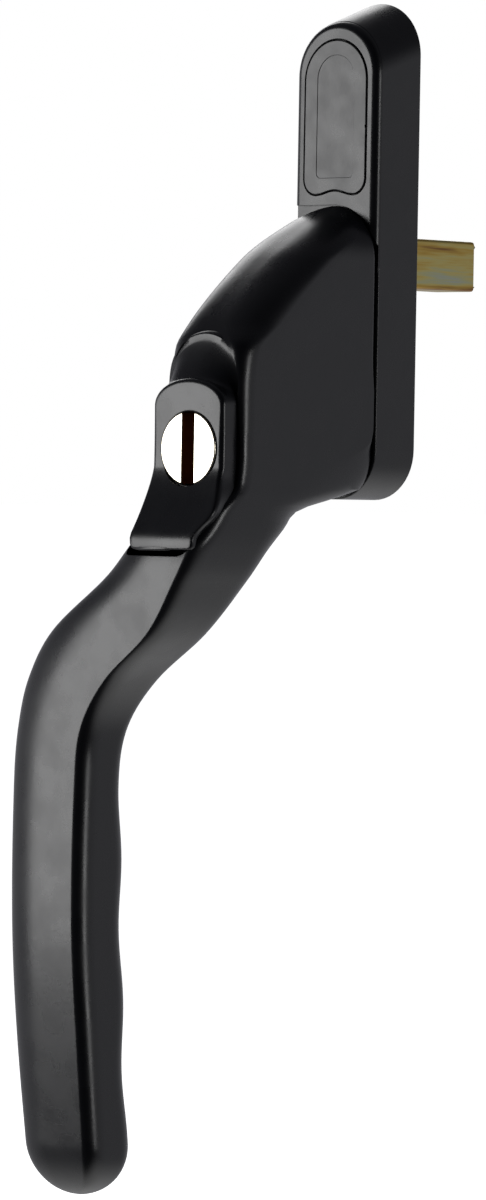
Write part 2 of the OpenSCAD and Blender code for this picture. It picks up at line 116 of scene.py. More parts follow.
class HandleSizes(bpy.types.PropertyGroup):
    """Sizes that the looks add to the frame's own."""

    edge: length("Edge radius", "Rounding that the powder coat leaves on cast edges", 0.3)
    pad_rise: length("Pad rise", "How far the raised pad stands above the plate", 0.9)
    pad_bevel: length("Pad bevel", "Width of the rounding round the raised pad", 1.15)
    draft: length("Draft", "How much lower the plate's front is at its top", 3.0)
    seam: length("Cap seam", "Width of the gap round the cover cap", 0.13)
    cap_panel: length("Cap panel", "Half width of the shallow panel in the cap", 3.4)
    cap_corner: length("Cap corner", "Radius of the cap's lower corners", 2.2)
    wall: length("Plate wall", "Thickness of the hollow plate's sides", 1.7)
    web: length("Plate web", "Thickness of the hollow plate's front", 3.6)
    hole: length("Screw hole", "Diameter of a fixing screw's hole", 5.3)
    head: length("Screw recess", "Diameter of a fixing screw's recess", 8.6)
    pitch: length("Screw pitch", "Distance between the fixing screws", 43)
    grip: length("Grip width", "Width of the grip", 14.6)
    gap: length("Lock gap", "Dark gap below the lock housing's lip", 0.7)
    rim_round: length("Rim radius", "Rounding of the lock housing's outer rim", 0.5)
    boss_round: length("Boss radius", "Rounding of the lock boss's edge", 0.75)
    hollow: length("Finger hollow", "Depth of the hollows behind the grip", 0.7)
    slot: length("Key slot", "Width of the slot in the lock barrel", 2.2)


class HandleColours(bpy.types.PropertyGroup):
    """Colours of the handle's finishes."""

    coat: colour("Powder coat", "Black polyester powder coat", "#16171b")
    plastic: colour("Cap", "Black ABS of the cover cap", "#17181b")
    nickel: colour("Nickel", "Bright nickel plate on the lock barrel", "#f2ead8")
    brass: colour("Brass", "Bare brass inside the key slot", "#8a5a22")
    zinc: colour("Zinc", "Yellow passivated zinc on the spindle", "#a8954c")
    steel: colour("Steel", "Spring steel of clips and springs", "#8d9094")
    nylon: colour("Nylon", "Natural nylon of washer and guides", "#ddd9c9")
    black: colour("Black oxide", "Black oxide on the grub screw", "#2a2b2d")


def sizes():
    return bpy.context.scene.handle_sizes


def colours():
    return bpy.context.scene.handle_colours


# ---------- nodes and materials ----------


def add_node(tree, kind, settings=(), links=()):
    """Adds a node, sets its inputs and properties, and links (socket, from node, output)."""
    node = tree.nodes.new(kind)
    for key, value in dict(settings).items():
        if isinstance(key, str) and hasattr(node, key):
            setattr(node, key, value)
        else:
            node.inputs[key].default_value = value
    for socket, source, output in links:
        tree.links.new(source.outputs[output], node.inputs[socket])
    return node


def new_material(name, tint, roughness, metallic=0.0):
    """A material with a Principled shader, and its tree and shader."""
    material = bpy.data.materials.new(name)
    material.use_nodes = True
    tree = material.node_tree
    shader = tree.nodes["Principled BSDF"]
    shader.inputs["Base Color"].default_value = (*tint, 1)
    shader.inputs["Roughness"].default_value = roughness
    shader.inputs["Metallic"].default_value = metallic
    material.diffuse_color = (*tint, 1)
    return material, tree, shader


def object_mm(tree, stretch=(1, 1, 1)):
    """Object coordinates in millimetres, so that a scale of 1 is one feature a millimetre."""
    place = add_node(tree, "ShaderNodeTexCoord")
    return add_node(
        tree, "ShaderNodeMapping",
        {"Scale": tuple(s / MM for s in stretch)}, [("Vector", place, "Object")],
    )


def noise(tree, place, per_mm, detail=2.0):
    return add_node(
        tree, "ShaderNodeTexNoise", {"Scale": per_mm, "Detail": detail},
        [("Vector", place, "Vector")],
    )


def spread(tree, source, output, low, high, low_in=0.35, high_in=0.65):
    """Maps a pattern's middle range onto low to high."""
    return add_node(
        tree, "ShaderNodeMapRange",
        {"From Min": low_in, "From Max": high_in, "To Min": low, "To Max": high},
        [("Value", source, output)],
    )


def bump(tree, shader, source, output, depth_mm, strength):
    raised = add_node(
        tree, "ShaderNodeBump", {"Strength": strength, "Distance": depth_mm * MM},
        [("Height", source, output)],
    )
    tree.links.new(raised.outputs["Normal"], shader.inputs["Normal"])


def powder_coat():
    """Polyester powder coat baked on a zinc casting: satin, with a faint orange peel."""
    material, tree, shader = new_material("powder_coat", colours().coat, 0.27)
    place = object_mm(tree)
    peel = noise(tree, place, 1.4, 2.0)            # waves 0.7 mm apart, as the coat flowed
    cloud = noise(tree, place, 0.22, 3.0)          # handling leaves patches some 4 mm wide
    rough = spread(tree, cloud, "Fac", 0.25, 0.31)
    tree.links.new(rough.outputs["Result"], shader.inputs["Roughness"])
    bump(tree, shader, peel, "Fac", 0.02, 0.35)
    return material


def cap_plastic():
    """Moulded ABS: a little duller and greyer than the coat, with a fine spark texture."""
    material, tree, shader = new_material("moulded_abs", colours().plastic, 0.3)
    place = object_mm(tree)
    grain = noise(tree, place, 5, 1.0)             # spark-eroded mould, grain 0.2 mm
    cloud = noise(tree, place, 0.3, 2.0)           # slight flow marks 3 mm wide
    rough = spread(tree, cloud, "Fac", 0.27, 0.34)
    tree.links.new(rough.outputs["Result"], shader.inputs["Roughness"])
    bump(tree, shader, grain, "Fac", 0.006, 0.3)
    return material


def bright_nickel():
    """Nickel plate over turned brass: nearly white, with faint turning rings."""
    material, tree, shader = new_material("bright_nickel", colours().nickel, 0.24, 1.0)
    place = add_node(tree, "ShaderNodeTexCoord")
    centred = add_node(
        tree, "ShaderNodeMapping",
        {"Location": (0, 0, -barrel_z() / MM), "Scale": (1 / MM, 0, 1 / MM)},
        [("Vector", place, "Object")],
    )
    rings = add_node(
        tree, "ShaderNodeTexWave",
        {"wave_type": "RINGS", "rings_direction": "SPHERICAL", "Scale": 1.6,
         "Distortion": 0.6, "Detail": 2.0},        # feed marks 0.2 mm apart
        [("Vector", centred, "Vector")],
    )
    rough = spread(tree, rings, "Fac", 0.2, 0.3, 0, 1)
    tree.links.new(rough.outputs["Result"], shader.inputs["Roughness"])
    bump(tree, shader, rings, "Fac", 0.003, 0.15)
    return material


def bare_brass():
    """Brass left by the slot's cutter: warm, and dull in its depth."""
    material, tree, shader = new_material("bare_brass", colours().brass, 0.5, 0.6)
    marks = noise(tree, object_mm(tree, (0.3, 6, 0.3)), 1.0, 2.0)   # cutter marks 0.2 mm
    bump(tree, shader, marks, "Fac", 0.01, 0.4)
    return material


def yellow_zinc():
    """Cold-drawn bar, zinc plated and yellow passivated: olive with brown and grey bands."""
    material, tree, shader = new_material("yellow_zinc", colours().zinc, 0.36, 0.6)
    streaks = noise(tree, object_mm(tree, (0.8, 0.06, 0.8)), 1.0, 3.0)   # drawn along the bar
    ramp = add_node(tree, "ShaderNodeValToRGB", (), [("Fac", streaks, "Fac")])
    stops = ramp.color_ramp.elements
    stops[0].position, stops[0].color = 0.32, (*linear("#86602f"), 1)
    stops[1].position, stops[1].color = 0.68, (*linear("#aab0a6"), 1)
    for position, tone in ((0.43, "#bd9c48"), (0.52, "#c4b46c"), (0.6, "#b3b389")):
        stops.new(position).color = (*linear(tone), 1)
    tree.links.new(ramp.outputs["Color"], shader.inputs["Base Color"])
    fine = noise(tree, object_mm(tree, (4, 0.3, 4)), 1.0, 2.0)      # die lines 0.25 mm apart
    bump(tree, shader, fine, "Fac", 0.01, 0.25)
    return material


def spring_steel():
    """Blanked and barrel-polished spring steel: grey, with fine scratches."""
    material, tree, shader = new_material("spring_steel", colours().steel, 0.32, 1.0)
    scratches = noise(tree, object_mm(tree, (6, 0.8, 6)), 1.0, 2.0)
    rough = spread(tree, scratches, "Fac", 0.26, 0.42)
    tree.links.new(rough.outputs["Result"], shader.inputs["Roughness"])
    return material


def natural_nylon():
    """Moulded nylon: waxy off-white that lets a little light in."""
    material, tree, shader = new_material("natural_nylon", colours().nylon, 0.45)
    shader.inputs["Subsurface Weight"].default_value = 0.15
    shader.inputs["Subsurface Scale"].default_value = 0.5 * MM
    bump(tree, shader, noise(tree, object_mm(tree), 2.5, 1.0), "Fac", 0.01, 0.2)
    return material


def cast_zinc():
    """Zinc die casting, tumbled: pale grey and softly mottled."""
    material, tree, shader = new_material("cast_zinc", linear("#a9abad"), 0.4, 1.0)
    grain = noise(tree, object_mm(tree), 1.8, 3.0)
    rough = spread(tree, grain, "Fac", 0.34, 0.5)
    tree.links.new(rough.outputs["Result"], shader.inputs["Roughness"])
    bump(tree, shader, grain, "Fac", 0.01, 0.3)
    return material


def black_oxide():
    """Oil-blacked steel: near black with a low sheen."""
    material, tree, shader = new_material("black_oxide", colours().black, 0.38, 0.8)
    bump(tree, shader, noise(tree, object_mm(tree), 3.0, 2.0), "Fac", 0.008, 0.3)
    return material


MATERIALS = {}


def finish_of(maker):
    """The material that maker makes, made once."""
    name = maker.__name__
    if name not in MATERIALS:
        MATERIALS[name] = maker()
    return MATERIALS[name]


# ---------- outlines and solids ----------


def arc(cx, cz, r, start, end, steps):
    """Points on an arc with their outward normals, as (x, z, nx, nz), angles in degrees."""
    points = []
    for i in range(steps + 1):
        a = math.radians(start + (end - start) * i / steps)
        points.append((cx + r * math.cos(a), cz + r * math.sin(a), math.cos(a), math.sin(a)))
    return points


def tombstone(half, top, bottom, corner, steps=24):
    """An outline with a round top, straight sides and round bottom corners."""
    return (
        arc(0, top - half, half, 0, 180, 2 * steps)
        + arc(corner - half, bottom + corner, corner, 180, 270, steps // 2)
        + arc(half - corner, bottom + corner, corner, 270, 360, steps // 2)
    )


def circle(r, cx=0.0, cz=0.0, steps=64):
    return arc(cx, cz, r, 0, 360, steps)[:-1]


def box_outline(half_w, half_h, corner, cx=0.0, cz=0.0, steps=6):
    corners = ((1, 1, 0), (-1, 1, 90), (-1, -1, 180), (1, -1, 270))
    return [
        p for sx, sz, a in corners
        for p in arc(cx + sx * (half_w - corner), cz + sz * (half_h - corner), corner,
                     a, a + 90, steps)
    ]


def ring_at(outline, y, inset=0.0, drop=0.0):
    """The outline at depth y, moved in by inset, and its upper half lowered by drop."""
    return [
        Vector((x - inset * nx, y, z - inset * nz - (drop if z > 0 else 0)))
        for x, z, nx, nz in outline
    ]


def rounded_rim(y, towards, r, steps=5):
    """(y, inset) pairs that round an edge of radius r into a face at y."""
    return [
        (y - towards * r * (1 - math.sin(a)), r * (1 - math.cos(a)))
        for a in (math.pi / 2 * i / steps for i in range(steps + 1))
    ]


def new_object(name, points, faces):
    mesh = bpy.data.meshes.new(name)
    mesh.from_pydata(points, [], faces)
    work = bmesh.new()
    work.from_mesh(mesh)
    bmesh.ops.remove_doubles(work, verts=work.verts, dist=1e-7)
    bmesh.ops.recalc_face_normals(work, faces=work.faces)
    work.to_mesh(mesh)
    work.free()
    piece = bpy.data.objects.new(name, mesh)
    bpy.context.scene.collection.objects.link(piece)
    return piece


def loft(name, rings):
    """A closed solid through rings of equally many points, with flat ends."""
    count = len(rings[0])
    points = [p for ring in rings for p in ring]
    faces = [tuple(range(count)), tuple(range(len(points) - count, len(points)))]
    for i in range(len(rings) - 1):
        for j in range(count):
            k = (j + 1) % count
            a, b = i * count, (i + 1) * count
            faces.append((a + j, a + k, b + k, b + j))
    return new_object(name, points, faces)


def prism(name, outline, profile, drop_at=None):
    """The outline along Y through (y, inset) pairs; drop_at gives its draft at each y."""
    return loft(name, [
        ring_at(outline, y, inset, drop_at(y) if drop_at else 0) for y, inset in profile
    ])


def lathe(name, profile, cx=0.0, cz=0.0, steps=64):
    """A round along Y through (radius, y) pairs."""
    return loft(name, [ring_at(circle(r, cx, cz, steps), y) for r, y in profile])


def flared_hole(name, r, y_deep, y_mouth, cx, cz, flare, steps=48):
    """A cutter for a hole whose mouth, at the front, is rounded by flare."""
    profile = [(r, y_deep), (r, y_mouth + flare)]
    for i in range(1, 6):
        a = math.pi / 2 * i / 5
        profile.append((r + flare * (1 - math.cos(a)), y_mouth + flare * (1 - math.sin(a))))
    profile.append((r + flare, y_mouth - PAST))
    return lathe(name, profile, cx, cz, steps)


def combine(target, others, operation):
    """Cuts others from target, or joins them to it, and removes them."""
    for other in others:
        modifier = target.modifiers.new(operation, "BOOLEAN")
        modifier.operation = operation
        modifier.solver = "EXACT"
        modifier.object = other
    depsgraph = bpy.context.evaluated_depsgraph_get()
    mesh = bpy.data.meshes.new_from_object(target.evaluated_get(depsgraph))
    target.modifiers.clear()
    old = target.data
    target.data = mesh
    mesh.name = target.name
    bpy.data.meshes.remove(old)
    for other in others:
        bpy.data.objects.remove(other)
    if not target.data.polygons:
        raise RuntimeError(f"{target.name} came out empty")
    return target


def smooth(piece, sharp_degrees=32):
    """Smooth shading that keeps real edges, with flat faces left flat."""
    mesh = piece.data
    mesh.shade_smooth()
    mesh.set_sharp_from_angle(angle=math.radians(sharp_degrees))
    weighted = piece.modifiers.new("weighted", "WEIGHTED_NORMAL")
    weighted.keep_sharp = True
    weighted.weight = 80


def install(piece, maker, body, nodes):
    """Gives the piece its finish, and puts it in the frame in place of CAD nodes."""
    if not piece.data.materials:
        piece.data.materials.append(finish_of(maker))
    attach(piece, body)
    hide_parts(*nodes)


# ---------- places that several pieces share ----------


def half_width():
    return PLATE_HIGH.x


def pad_y():
    """The front of the raised pad."""
    return PLATE_LOW.y


def plate_front():
    """The front of the backplate under the lever."""
    return pad_y() + sizes().pad_rise


def lever_back():
    return WASHER_LOW.y - FIT


def barrel_z():
    return (BARREL_LOW.z + BARREL_HIGH.z) / 2


def bolt_z():
    return (BOLT_LOW.z + BOLT_HIGH.z) / 2


# ---------- backplate ----------


def plate_outline(inset=0.0):
    return tombstone(half_width() - inset, PLATE_HIGH.z - inset, PLATE_LOW.z + inset,
                     PLATE_CORNER - inset)


def plate_draft_at(y):
    """How much lower the plate's top is at depth y than at the sash."""
    return sizes().draft * min(max(y / plate_front(), 0), 1)


def sweep_cutter():
    """Where the lever turns: its round hub and all that is level with it on one side."""
    clearance, beyond = 0.2 * MM, -20 * MM
    r = half_width() + clearance
    hub = arc(0, 0, r, -60, 90, 40)
    outline = hub + [(beyond, r, 0, 1), (beyond, -r, -1, 0)]
    rings = [ring_at(outline, y) for y in (plate_front(), pad_y() - 2 * PAST)]
    return loft("sweep", rings)


def hollow_cutters():
    """The rear hollow, split round the two screw posts and the journal's post."""
    s = sizes()
    back = plate_front() + s.web
    hollow = prism("hollow", plate_outline(s.wall), [(2 * PAST, 0), (back, 0)],
                   lambda y: s.draft)
    post_r = s.head / 2 + 0.6 * MM
    posts = [
        lathe(f"post_{side}", [(post_r, 3 * PAST), (post_r, back - PAST)],
              0, side * s.pitch / 2)
        for side in (-1, 1)
    ]
    cheek_from = half_width() - s.wall - FIT - 1.5 * MM
    cheek_half = 5 * MM
    tall = WASHER_HIGH.z + 0.75 * MM
    for side in (-1, 1):
        x = side * (cheek_from + cheek_half)
        posts.append(prism(f"cheek_{side}", box_outline(cheek_half, tall, s.edge, x),
                           [(3 * PAST, 0), (back - PAST, 0)]))
    return combine(hollow, posts, "DIFFERENCE")


def build_pad():
    """The raised pad: a rounded edge all round, cut away where the lever turns."""
    s = sizes()
    foot = s.pad_rise + 0.35 * MM          # the rounding starts inside the plate
    edge = [
        (pad_y() + foot * (1 - math.sin(a)), s.pad_bevel * (1 - math.cos(a)))
        for a in (math.pi / 2 * i / 8 for i in range(9))
    ]
    pad = prism("pad", tombstone(half_width(), PLATE_HIGH.z - s.draft, -3 * MM, 2 * MM),
                [(plate_front() + PAST, 0)] + edge)
    return combine(pad, [sweep_cutter()], "DIFFERENCE")


def build_backplate():
    s = sizes()
    front = plate_front()
    sash_edge, mouth = 0.2 * MM, 0.1 * MM
    body = prism(
        "backplate", plate_outline(),
        rounded_rim(0, 1, sash_edge)[::-1] + rounded_rim(front, -1, s.edge), plate_draft_at,
    )
    combine(body, [build_pad()], "UNION")
    washer_r = WASHER_HIGH.x + FIT
    cutters = [
        hollow_cutters(),
        lathe("bearing", [(BEARING_R, PAST), (BEARING_R, front - PAST)]),
        lathe("clip_well", [(CLIP_WELL_R, PAST), (CLIP_WELL_R, front + 3 * MM)]),
        lathe("washer_seat", [(washer_r, WASHER_HIGH.y), (washer_r, front - PAST)]),
    ]
    for side in (-1, 1):
        z = side * s.pitch / 2
        cutters.append(lathe(f"screw_{side}", [(s.hole / 2, PAST), (s.hole / 2, -6 * MM)], 0, z))
        cutters.append(flared_hole(f"recess_{side}", s.head / 2, -4 * MM, front, 0, z,
                                   0.2 * MM))
    cutters.append(prism("cap_seat", cap_outline(-s.seam),
                         [(pad_y() + CAP_SUNK, 0), (pad_y() + mouth, 0),
                          (pad_y() - 0.02 * MM, -mouth), (pad_y() - PAST, -mouth)]))
    cutters.append(flared_hole("bolt_hole", BOLT_HOLE_R, PAST, front, 0, bolt_z(), 0.15 * MM))
    combine(body, cutters, "DIFFERENCE")
    smooth(body)
    body.name = "backplate_casting"
    install(body, powder_coat, "backplate", ["backplate"])


# ---------- cover cap ----------


def cap_outline(inset=0.0):
    """Round top, straight sides, round lower corners and a hollow in the lower edge."""
    s = sizes()
    half = (CAP_HIGH.x - CAP_LOW.x) / 2 - inset
    top, low = CAP_HIGH.z - inset, CAP_LOW.z + inset
    corner = s.cap_corner - inset
    rise, lip = 0.55 * MM, 0.03 * MM
    overlap = corner * 0.2                 # each corner's arc runs on into the hollow
    outline = arc(0, top - half, half, 0, 180, 48)
    outline += arc(corner - half, low + corner, corner, 180, 282, 14)
    run = half - corner
    for i in range(1, 16):
        t = i / 16
        x = -run + overlap + 2 * (run - overlap) * t
        lift = rise * math.sin(math.pi * t) ** 1.5
        outline.append((x, low + lift + lip, 0, -1))
    outline += arc(half - corner, low + corner, corner, 258, 360, 14)
    return outline


def build_cover_cap():
    """The cap's body with a shallow panel line, two pegs behind and a pry nick."""
    s = sizes()
    face = CAP_LOW.y
    low, high = CAP_LOW.z + 2.2 * MM, CAP_HIGH.z - 2.6 * MM
    cap = prism("cap", cap_outline(),
                [(pad_y() + CAP_SUNK - 0.02 * MM, 0)] + rounded_rim(face, -1, 0.18 * MM, 4))
    panel = tombstone(s.cap_panel, CAP_HIGH.z - 2 * MM, low, 0.8 * MM)
    groove = prism("groove", panel, [(face + 0.07 * MM, 0.1 * MM), (face - FIT, -0.02 * MM)])
    combine(cap, [groove], "DIFFERENCE")
    peg_r, tip_r = 0.9 * MM, 0.6 * MM
    pegs = [
        lathe(f"peg_{i}", [(tip_r, pad_y() + 3.5 * MM), (peg_r, pad_y() + 3.2 * MM),
                           (peg_r, pad_y() + 1 * MM)], 0, z, 32)
        for i, z in enumerate((low, high))
    ]
    combine(cap, pegs, "UNION")
    nick = prism("nick", circle(0.45 * MM, CAP_HIGH.x + 0.22 * MM, 18.4 * MM, 16),
                 [(face + 0.5 * MM, 0), (face - 0.5 * MM, 0)])
    combine(cap, [nick], "DIFFERENCE")
    smooth(cap)
    cap.name = "cover_cap_moulding"
    install(cap, cap_plastic, "backplate", ["cover_cap"])


# ---------- lever ----------


def lever_reach():
    """How far the lever reaches below its axis, in mm."""
    return -LEVER_LOW.z / MM


def lever_rows():
    """Heights down the lever, in mm, and the section there: centre across, front, back,
    half width, then each corner across and deep: front left, front right, back."""
    half = half_width() / MM
    back = lever_back() / MM
    front = plate_front() / MM
    reach = lever_reach()
    out = -LEVER_LOW.y / MM
    crank = 7.8 - out                      # front of the crank, around the lock
    lock = barrel_z() / MM
    neck = lock - 14.1                     # where the neck starts
    grip = sizes().grip / MM / 2
    aside = -LEVER_LOW.x / MM - grip
    top = -72                              # top of the straight grip
    return [
        (half, 0, front - 0.9, back, half, 0.6, 0.6, 0.6, 0.6, 0.3, 0.3),
        (5.3, 0, front - 5.8, back, half, 4.4, 4.4, 4.4, 4.4, 0.8, 0.8),
        (3, 0, front - 10.1, back, half, 5.5, 5.5, 5.5, 5.5, 0.8, 0.8),
        (0, 0, front - 14.9, back, half, 6, 6, 6, 6, 0.8, 0.8),
        (-5, 0, crank + 5.9, back, half, 6, 6, 6, 6, 0.8, 0.8),
        (-9.5, 0, crank + 1.6, back, half, 5.4, 5.4, 5.4, 5.4, 0.8, 0.8),
        (-13, 0, crank - 0.2, back, half, 4.2, 4.2, 2.2, 3.2, 0.8, 0.8),
        (lock + 1.4, 0, crank, back, half, 3.2, 3.2, 0.8, 2.2, 0.8, 0.8),
        (lock - 1.9, 0, crank, back, half, 3.2, 3.2, 0.8, 2.2, 0.8, 8.5),
        (lock - 5.1, 0, crank - 0.6, back, half, 3.2, 3.2, 0.8, 2.2, 2.6, 14),
        (lock - 6.6, 0, crank - 1.8, back - 3.6, half, 3.2, 3.2, 0.9, 2.2, 6, 14),
        (lock - 8.2, -0.3, crank - 3.6, back - 10, half, 3.4, 3.4, 1.1, 2.4, 6.6, 11),
        (lock - 10.6, -0.8, crank - 5.4, crank + 14, half, 5, 4, 1.8, 3, 6.8, 8),
        (neck + 0.5, -2, 0.6 - out, 19 - out, 7.7, 7.5, 4.2, 1.7, 3, 6.4, 6.4),
        (neck - 3.5, -4.7, -out, 16.7 - out, 8.6, 9.5, 4.2, 1.7, 3, 5.8, 5.6),
        (neck - 11, -1.3 - aside / 2, -out, 12.9 - out, 11, 11, 3.8, 1.7, 3, 4.5, 4.2),
        (top + 14, 3.7 - aside, -out, 11.1 - out, 9, 9, 2.9, 1.7, 3, 3.6, 3.4),
        (top + 7.5, 0.8 - aside, -out, 9.8 - out, grip + 0.3, 7.5, 2.5, 1.7, 3, 3.2, 3),
        (top, -aside, -out, 9.8 - out, grip + 0.1, 7, 2.4, 1.7, 3, 3, 3),
        (37 - reach, -aside, -out, 10.4 - out, grip, 6.8, 2.4, 1.7, 3, 3, 3),
        (21 - reach, 0.5 - aside, 0.9 - out, 10.7 - out, grip, 6.6, 2.4, 1.7, 3, 3, 3),
        (-reach, 1.4 - aside, 2.6 - out, 11.8 - out, grip - 0.4, 5, 2.6, 1.7, 3, 3, 3),
    ]


def row_slope(rows, i, column):
    """How fast a column changes with height at row i."""
    a, b = rows[max(i - 1, 0)], rows[min(i + 1, len(rows) - 1)]
    return (b[column] - a[column]) / (b[0] - a[0])


def lever_at(rows, z):
    """The table's columns at height z, on smooth curves through the rows."""
    i = 0
    while i < len(rows) - 2 and rows[i + 1][0] >= z:
        i += 1
    a, b = rows[i], rows[i + 1]
    h = b[0] - a[0]
    t = min(max((z - a[0]) / h, 0), 1)
    t2, t3 = t * t, t * t * t
    return [
        (2 * t3 - 3 * t2 + 1) * a[c] + (t3 - 2 * t2 + t) * h * row_slope(rows, i, c)
        + (3 * t2 - 2 * t3) * b[c] + (t3 - t2) * h * row_slope(rows, i + 1, c)
        for c in range(1, len(a))
    ]


def corner(cx, cy, rx, ry, start, steps):
    """A quarter of an ellipse, as (x, y) points."""
    points = []
    for k in range(steps + 1):
        a = math.radians(start + 90 * k / steps)
        points.append((cx + rx * math.cos(a), cy + ry * math.sin(a)))
    return points


def lever_section(rows, z, steps=10, straight=5):
    """The lever's section at height z, as a ring of points."""
    half = half_width() / MM
    back_plane = lever_back() / MM
    tip_top = TIP_LENGTH - lever_reach()
    x, front, back, w, left_x, left_y, right_x, right_y, rx, ry = lever_at(rows, z)
    if z > 0:
        w = math.sqrt(max(half * half - z * z, 0.6))       # the round top
    depth = (tip_top - z) / TIP_LENGTH
    shrink = 1 if depth <= 0 else math.sqrt(max(1 - depth * depth, 0.001))
    if z > -30:
        back = back_plane                                  # flat against the backplate
    elif FINGER_RIDGE + FINGER_PITCH > z > tip_top:
        wave = math.cos(2 * math.pi * (z - FINGER_RIDGE) / FINGER_PITCH) - 1
        back += sizes().hollow / MM / 2 * wave
    back = min(back, back_plane)
    deep = back - front
    mid = (front + back) / 2
    left_x, right_x = min(left_x, w + 1), min(right_x, w - 1.1)
    left_y, right_y = min(left_y, deep * 0.6), min(right_y, deep * 0.6)
    rx = min(max(rx, 0.2), w - 0.05)
    ry = min(max(ry, 0.2), deep - max(left_y, right_y) - 0.1)
    arcs = [
        corner(w - rx, back - ry, rx, ry, 0, steps),
        corner(rx - w, back - ry, rx, ry, 90, steps),
        corner(left_x - w, front + left_y, left_x, left_y, 180, steps),
        corner(w - right_x, front + right_y, right_x, right_y, 270, steps),
    ]
    points = []
    for k, arc_points in enumerate(arcs):
        points += arc_points
        a, b = arc_points[-1], arcs[(k + 1) % 4][0]
        for i in range(1, straight):
            t = i / straight
            points.append((a[0] + (b[0] - a[0]) * t, a[1] + (b[1] - a[1]) * t))
    return [Vector((x + shrink * px, mid + shrink * (py - mid), z)) * MM for px, py in points]


def lever_levels():
    """Heights of the lever's sections, close together where it curves."""
    half = half_width() / MM
    tip_top = TIP_LENGTH - lever_reach()
    levels = [half * math.cos(math.radians(a)) for a in range(4, 90, 5)]
    z, near, far = -0.4, 0.8, 1.2
    while z > tip_top + 0.5:
        levels.append(z)
        z -= near if z > -70 else far
    turns = [*range(0, 88, 5), 88]
    return levels + [tip_top - TIP_LENGTH * math.sin(math.radians(a)) for a in turns]


def rim_outline():
    """The seat of the lock housing in the lever's front, kept inside the lever's flanks."""
    rows = lever_rows()
    inside = 0.93                          # share of the lever's width that the seat takes
    outline = []
    for x, z, nx, nz in tombstone(7 * MM, HOUSING_HIGH.z - 0.4 * MM,
                                  HOUSING_LOW.z - sizes().gap, 2.2 * MM):
        centre, _, _, half = lever_at(rows, z / MM)[:4]
        outline.append((centre * MM + x * inside * half * MM / half_width(), z, nx, nz))
    return outline


def rim_seat_y():
    """The floor of the housing's seat in the lever."""
    return 9.8 * MM + LEVER_LOW.y


def journal_with_groove():
    """The round post behind the lever's hub, with a groove for its circlip."""
    chamfer = 0.4 * MM
    journal = lathe("journal", [(JOURNAL_R - chamfer, LEVER_HIGH.y),
                                (JOURNAL_R, LEVER_HIGH.y - chamfer),
                                (JOURNAL_R, lever_back() - 2 * PAST)])
    groove = lathe("groove_out", [(9 * MM, CLIP_HIGH.y + FIT), (9 * MM, CLIP_LOW.y - FIT)])
    core = lathe("groove_in", [(5.3 * MM, 2 * PAST), (5.3 * MM, -12 * MM)])
    combine(groove, [core], "DIFFERENCE")
    return combine(journal, [groove], "DIFFERENCE")


def grub_bore():
    """The tapped hole for the grub screw, from the lever's flank to the spindle."""
    low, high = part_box("spindle_grub_screw")
    y = (low.y + high.y) / 2
    r = (high.y - low.y) / 2 + FIT
    flare = 0.5 * MM
    rings = []
    for x, extra in ((-3 * MM, 0), (-7.1 * MM, 0), (-7.6 * MM, flare), (-9 * MM, flare)):
        rings.append([
            Vector((x, y + (r + extra) * math.cos(a), (r + extra) * math.sin(a)))
            for a in (2 * math.pi * k / 32 for k in range(32))
        ])
    return loft("grub_bore", rings)


def build_lever():
    rows = lever_rows()
    lock = barrel_z()
    casting = loft("lever", [lever_section(rows, z) for z in lever_levels()])
    combine(casting, [journal_with_groove()], "UNION")
    side = (BAR_HIGH.x - BAR_LOW.x) / 2 + FIT
    bolt_r, well_r = 1.55 * MM, 4.5 * MM
    well_back = -15.5 * MM
    rim_back = rim_seat_y()
    body_half, body_rise = LOCK_HALF + FIT, LOCK_RISE + FIT
    combine(casting, [
        prism("socket", box_outline(side, side, 0.35 * MM),
              [(PAST, 0), (BAR_LOW.y - 0.1 * MM, 0)]),
        prism("rim_seat", rim_outline(), [(rim_back, 0), (LEVER_LOW.y - 2 * PAST, 0)]),
        prism("body_seat", tombstone(body_half, lock + body_rise, lock - body_rise, 1 * MM),
              [(HOUSING_HIGH.y + FIT, 0), (rim_back - PAST, 0)]),
        lathe("cam_well", [(well_r, well_back), (well_r, rim_back)], 0, lock),
        lathe("bolt_bore", [(bolt_r, PAST), (bolt_r, well_back - 0.5 * MM)], 0, bolt_z()),
        grub_bore(),
    ], "DIFFERENCE")
    smooth(casting)
    casting.name = "lever_casting"
    install(casting, powder_coat, "lever", ["lever"])


# ---------- lock ----------


def reach_of(outline, cx, cz, angles):
    """How far each angle's ray from (cx, cz) runs to the outline."""
    reach = []
    for a in angles:
        dx, dz = math.cos(a), math.sin(a)
        best = 0.0
        for i, (x0, z0, _, _) in enumerate(outline):
            x1, z1 = outline[(i + 1) % len(outline)][:2]
            ex, ez = x1 - x0, z1 - z0
            cross = dx * ez - dz * ex
            if abs(cross) < 1e-12:
                continue
            along = ((x0 - cx) * ez - (z0 - cz) * ex) / cross
            share = ((x0 - cx) * dz - (z0 - cz) * dx) / cross
            if along > 0 and -1e-9 <= share <= 1 + 1e-9:
                best = max(best, along)
        reach.append(best)
    return reach


def face_y(z):
    """The boss face is flat above the barrel's middle, then sweeps forward to the lip."""
    barrel_proud = 0.25 * MM
    boss_y = BARREL_LOW.y + barrel_proud
    start, end = barrel_z() - 2.4 * MM, HOUSING_LOW.z + 2.05 * MM
    t = min(max((start - z) / (start - end), 0), 1)
    return boss_y - (boss_y - HOUSING_LOW.y) * t ** 1.35


def ease(value, start, run):
    """0 before start and 1 after start + run, smoothly between."""
    t = min(max((value - start) / run, 0), 1)
    return t * t * (3 - 2 * t)


